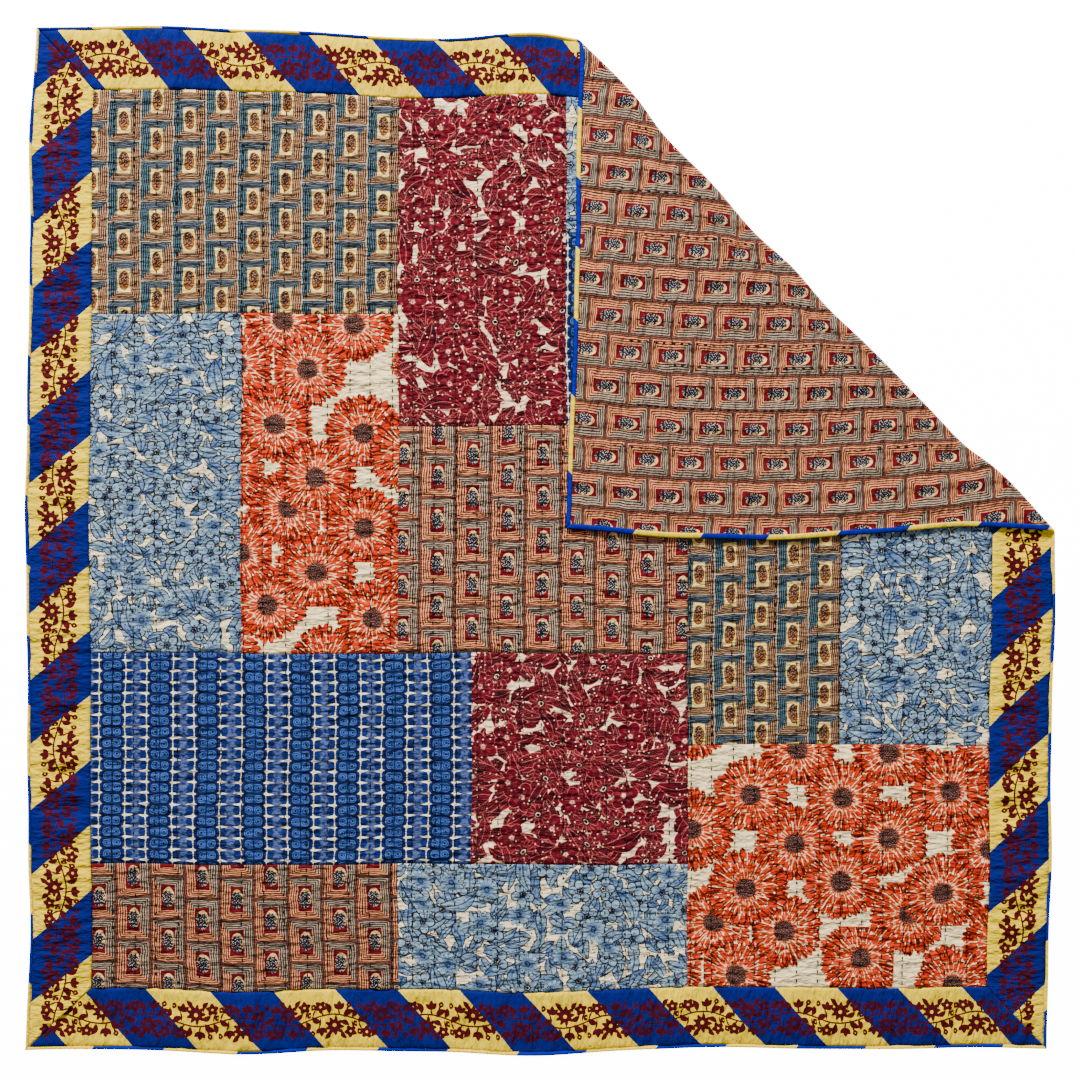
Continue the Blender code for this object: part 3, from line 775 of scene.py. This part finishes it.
for edge in edges:
    length = 2 * (quilt["halfSide"] - quilt["bindingFront"])
    count = round(length / 0.0070)
    inwards = np.linspace(quilt["bindingFront"], quilt["borderInner"], 22)
    share, depth = np.meshgrid(np.linspace(-1, 1, count), inwards)
    along = share * (quilt["halfSide"] - depth)
    u, v = alongEdge(edge, along, depth)
    middle = (quilt["borderInner"] + quilt["bindingFront"]) / 2
    full = 1 - ((depth - middle) / (quilt["borderInner"] - middle)) ** 2
    mitre = (quilt["halfSide"] - depth) - np.abs(along)
    wrinkle = (softNoise(along / 0.026, depth / 0.090 + 3, 21)
               + 0.7 * softNoise(along / 0.060, depth / 0.050, 22)
               + 0.35 * softNoise(along / 0.0135, depth / 0.045 + 9, 23))
    groove = np.exp(-((depth - quilt["bindingFront"]) / relief["grooveWidth"]) ** 2)
    outer = (relief["borderLevel"] + relief["borderCrown"] * full
             + relief["borderWrinkle"] * wrinkle * (0.35 + 0.65 * full)
             - seamDip(quilt["borderInner"] - depth) * 0.8 - seamDip(mitre) * 0.8
             - relief["bindingGroove"] * groove)
    outer = np.maximum(outer, innerLevel(u, v) + relief["leastCloth"])
    grids = facing(edge, u, v, outer, along, depth)
    piece = clothSheet("border_cloth_" + edge, *grids[:3], innerLevel(*grids[:2]), uv=grids[3:])
    dye = Dye("border_" + edge)
    piece.data.materials.append(dye.finish(stripesAndVine(dye, edge), crinkled=0.75, turned=True))
    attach(piece, "root")
    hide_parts("border_" + edge)

# The binding, as its section's distance in from the edge and its height
bindingSection = [
    (0.0090, 0.0002), (0.0092, 0.0010), (0.0080, 0.0017), (0.0048, 0.0030), (0.0050, 0.0043),
    (0.0034, 0.0056), (0.0012, 0.0058), (-0.0008, 0.0048), (-0.0018, 0.0029), (-0.0008, 0.0012),
    (0.0010, 0.0003), (0.0060, 0.0),
]
for edge in edges:
    count = round(2 * quilt["halfSide"] / 0.0075)
    section = np.array(bindingSection)
    share, k = np.meshgrid(np.linspace(-1, 1, count), np.arange(len(section)))
    depth, height = section[k, 0], section[k, 1].copy()
    along = share * (quilt["halfSide"] - depth)
    u, v = alongEdge(edge, along, depth)
    flatX, flatY = stretched(u, v)
    lifted = np.clip((acrossFold(flatX, flatY) - foldTurn / 2) / 0.03, 0, 1)
    height = height - 0.0022 * lifted * np.clip(1 - height / 0.004, 0, 1)
    points = np.stack([flatX, flatY, height], -1).reshape(-1, 3)
    rows = len(section)
    index = np.arange(rows * count).reshape(rows, count)
    around = np.roll(index, -1, axis=0)
    quads = np.stack([index[:, :-1], around[:, :-1], around[:, 1:], index[:, 1:]], -1).reshape(-1, 4)
    if edge in ("bottom", "right"):
        quads = quads[:, ::-1]
    ends = [index[:, 0], index[::-1, -1]] if edge in ("bottom", "right") else [index[::-1, 0], index[:, -1]]
    faces = quads.tolist() + [end.tolist() for end in ends]
    piece = makePiece("binding_roll_" + edge, points, faces, np.stack([along, depth], -1).reshape(-1, 2))
    dye = Dye("binding_" + edge)
    piece.data.materials.append(dye.finish(bindingStripes(dye, edge), 0.95, 0.4, turned=True, gloss=0.0))
    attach(piece, "root")
    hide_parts("binding_" + edge)

print("backing")
# Creases in the turned corner as it lies: from, to, depth and width, each a little different.
cornerCreases = [
    ((0.156, 0.125), (0.218, 0.072), 0.0011, 0.0065), ((0.218, 0.072), (0.250, 0.068), 0.0009, 0.0055),
    ((0.612, 0.066), (0.648, 0.101), 0.0010, 0.0060), ((0.648, 0.101), (0.668, 0.133), 0.0007, 0.0050),
    ((0.167, 0.856), (0.212, 0.834), 0.0010, 0.0050), ((0.212, 0.834), (0.219, 0.802), 0.0007, 0.0045),
    ((0.106, 0.640), (0.150, 0.655), 0.0008, 0.0055), ((0.100, 0.330), (0.165, 0.352), 0.0009, 0.0060),
    ((0.420, 0.055), (0.436, 0.150), 0.0008, 0.0060), ((0.905, 0.062), (0.960, 0.108), 0.0009, 0.0060),
    ((0.300, 0.420), (0.322, 0.560), 0.0007, 0.0050), ((0.545, 0.210), (0.560, 0.330), 0.0007, 0.0050),
]


def backPrint(x, y):  # flat outline to the backing's own cloth, which was sewn in a little askew and uneven
    column = 12.512 * x - 0.297 * y + 0.367
    row = 10.365 * y - 0.126 * x - 0.230
    x, y = np.clip(x, 0.15, 1.15), np.clip(y, 0.15, 1.15)
    column = column + 0.744 - 0.236 * x - 2.272 * y + 0.255 * x * x - 0.117 * x * y + 1.691 * y * y
    row = row + 0.144 - 0.726 * x + 0.112 * y + 0.665 * x * x - 0.288 * x * y + 0.093 * y * y
    return column * windowPlaces["backing"][0], row * windowPlaces["backing"][1]


half = quilt["halfSide"] - quilt["backingEdge"]
fine, plain = 0.0075, 0.030
across = np.concatenate([np.arange(-half, 0.0, plain), gridLines(0.0, half, fine)])
up = np.concatenate([np.arange(-half, -0.06, plain), gridLines(-0.06, half, fine)])
u, v = np.meshgrid(across, up)
flatX, flatY = stretched(u, v)
raised = turnedUp(flatX, flatY)
onLine, wave = quilting(*backPrint(flatX, flatY))
inside = np.clip((innerHalf - np.maximum(np.abs(u), np.abs(v))) / 0.01, 0, 1)
crinkle = softNoise(u / 0.034 + 3, v / 0.016, 31) + 0.6 * softNoise(u / 0.020, v / 0.012, 32)
seam = np.exp(-((innerHalf - np.maximum(np.abs(u), np.abs(v))) / relief["seamWidth"]) ** 2)
outer = raised * np.maximum(inside * (relief["backFurrow"] * onLine + 0.0002 * (1 + wave)) + 0.0008 * seam
                            + relief["backCrinkle"] * (crinkle + 0.5), 0.0)
lying = folded(flatX, flatY, 0.0)
for (x0, y0), (x1, y1), depth, width in cornerCreases:
    share = np.clip(((lying[..., 0] - x0) * (x1 - x0) + (lying[..., 1] - y0) * (y1 - y0))
                    / ((x1 - x0) ** 2 + (y1 - y0) ** 2), 0, 1)
    off = np.hypot(lying[..., 0] - x0 - share * (x1 - x0), lying[..., 1] - y0 - share * (y1 - y0))
    outer = outer + raised * depth * np.exp(-(off / width) ** 2) * (1 - 0.6 * (2 * share - 1) ** 2)
outer = np.minimum(outer, relief["backMost"])
grids = [g[:, ::-1] for g in (u, v, outer, *backPrint(flatX, flatY))]
hidden = 0.0009 + 0.0016 * turnedUp(*stretched(*grids[:2]))
piece = clothSheet("backing_cloth", *grids[:3], hidden, uv=grids[3:])
dye = Dye("backing")
piece.data.materials.append(dye.finish(framedPosies(dye, "peach", "backing", -1), sewn=True))
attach(piece, "root")
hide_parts("backing")

print("stitches")
thread = {"length": 0.0092, "pitch": 0.0194, "width": 0.0030, "height": 0.0014, "colour": tint(18, 12, 16)}


def stitchRow(places, seed):  # the places are in the flat outline
    chance = np.random.RandomState(seed)
    stations = [(-0.5, 0.0), (-0.34, 0.8), (0.0, 1.0), (0.34, 0.8), (0.5, 0.0)]
    points, faces = [], []
    for x, y in places:
        long = thread["length"] * chance.uniform(0.8, 1.2)
        lean = chance.uniform(-0.12, 0.12)
        first = len(points)
        for place, fat in stations:
            at = (x + lean * place * long, y + place * long)
            if fat == 0.0:
                points.append((*at, 0.0))
            else:
                wide, tall = thread["width"] / 2 * fat, thread["height"] * fat
                points += [(at[0] - wide, at[1], 0.0), (at[0], at[1], tall), (at[0] + wide, at[1], 0.0),
                           (at[0], at[1], -tall * 0.5)]
        rings = [[first], *[list(range(first + 1 + 4 * k, first + 5 + 4 * k)) for k in range(3)], [first + 13]]
        for low, high in zip(rings[1:-1], rings[2:-1]):
            faces += [(low[k], low[(k + 1) % 4], high[(k + 1) % 4], high[k]) for k in range(4)]
        faces += [(rings[0][0], rings[1][(k + 1) % 4], rings[1][k]) for k in range(4)]
        faces += [(rings[-1][0], rings[-2][k], rings[-2][(k + 1) % 4]) for k in range(4)]
    return np.array(points), faces


def sewnPlaces(onBack):
    chance = np.random.RandomState(4 + onBack)
    places = []
    for line in range(1, quilt["channels"] + 1):
        v = -innerHalf + 0.012 + (0.5 * thread["pitch"] if onBack else 0.0) + chance.uniform(0, 0.006)
        while v < innerHalf - 0.008:
            sewnAt = -innerHalf + line * channelPitch
            sewnAt += wander["reach"] * math.sin(wander["along"] * v + wander["each"] * line)
            if onBack:
                x, y = sewnAt, v
                for _ in range(6):  # where the backing's cloth has this place
                    a, b = backPrint(x, y)
                    x, y = x + sewnAt - float(a), y + v - float(b)
            else:
                x, y = (float(at) for at in stretched(sewnAt, v))
            past = acrossFold(x, y)
            within = max(abs(x), abs(y)) < innerHalf + (0.02 if onBack else 0.05)
            if within and ((past > 0.022) if onBack else (past < -0.014 and line < quilt["channels"])):
                places.append((x, y))
            v += thread["pitch"] * chance.uniform(0.9, 1.1)
    return places


for name, onBack in (("front", False), ("corner", True)):
    points, faces = stitchRow(sewnPlaces(onBack), 9)
    if onBack:
        height = relief["backFurrow"] - points[:, 2]
        faces = [face[::-1] for face in faces]
    else:
        height = quilt["thickness"] - relief["furrow"] + 0.0004 + points[:, 2]
    piece = makePiece("stitches_" + name, np.column_stack([points[:, :2], height]), faces, points[:, :2])
    dye = Dye("thread_" + name)
    piece.data.materials.append(dye.finish(dye.over(thread["colour"], thread["colour"], 1.0), 0.7, 0.0))
    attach(piece, "root")

print("camera, floor and light")
studio = {
    "cameraHeight": 6.0, "photoWidth": 2.440, "sensor": 36.0, "floor": 40.0,
    "keyPlace": (-2.2, 8.6, 5.4), "keySize": 1.9, "keyPower": 3000, "surround": 0.36, "floorGlow": 14.0,
}
camera = bpy.data.objects.new("camera", bpy.data.cameras.new("camera"))
camera.location = (0.0, 0.0, studio["cameraHeight"])
camera.data.sensor_width = studio["sensor"]
camera.data.lens = studio["sensor"] * studio["cameraHeight"] / studio["photoWidth"]
bpy.context.scene.collection.objects.link(camera)
bpy.context.scene.camera = camera

floorMesh = bpy.data.meshes.new("floor")
reach = studio["floor"] / 2
floorCorners = [(-reach, -reach, 0), (reach, -reach, 0), (reach, reach, 0), (-reach, reach, 0)]
floorMesh.from_pydata(floorCorners, [], [(0, 1, 2, 3)])
floor = bpy.data.objects.new("floor", floorMesh)
floor.location.z = -0.0005
white = bpy.data.materials.new("floor")
white.use_nodes = True
sockets = white.node_tree.nodes["Principled BSDF"].inputs
sockets["Base Color"].default_value = (0.9, 0.9, 0.9, 1)
sockets["Roughness"].default_value = 0.9
sockets["Emission Color"].default_value = (1, 1, 1, 1)
sockets["Emission Strength"].default_value = studio["floorGlow"]
floorMesh.materials.append(white)
bpy.context.scene.collection.objects.link(floor)

key = bpy.data.lights.new("key", "AREA")
key.size, key.energy = studio["keySize"], studio["keyPower"]
lamp = bpy.data.objects.new("key", key)
lamp.location = studio["keyPlace"]
lampX, lampY, lampHeight = studio["keyPlace"]
lamp.rotation_euler = (math.atan2(math.hypot(lampX, lampY), lampHeight), 0, math.atan2(lampX, -lampY))
bpy.context.scene.collection.objects.link(lamp)
world = bpy.data.worlds.new("studio")
world.use_nodes = True
world.node_tree.nodes["Background"].inputs["Color"].default_value = (1, 1, 1, 1)
world.node_tree.nodes["Background"].inputs["Strength"].default_value = studio["surround"]
bpy.context.scene.world = world
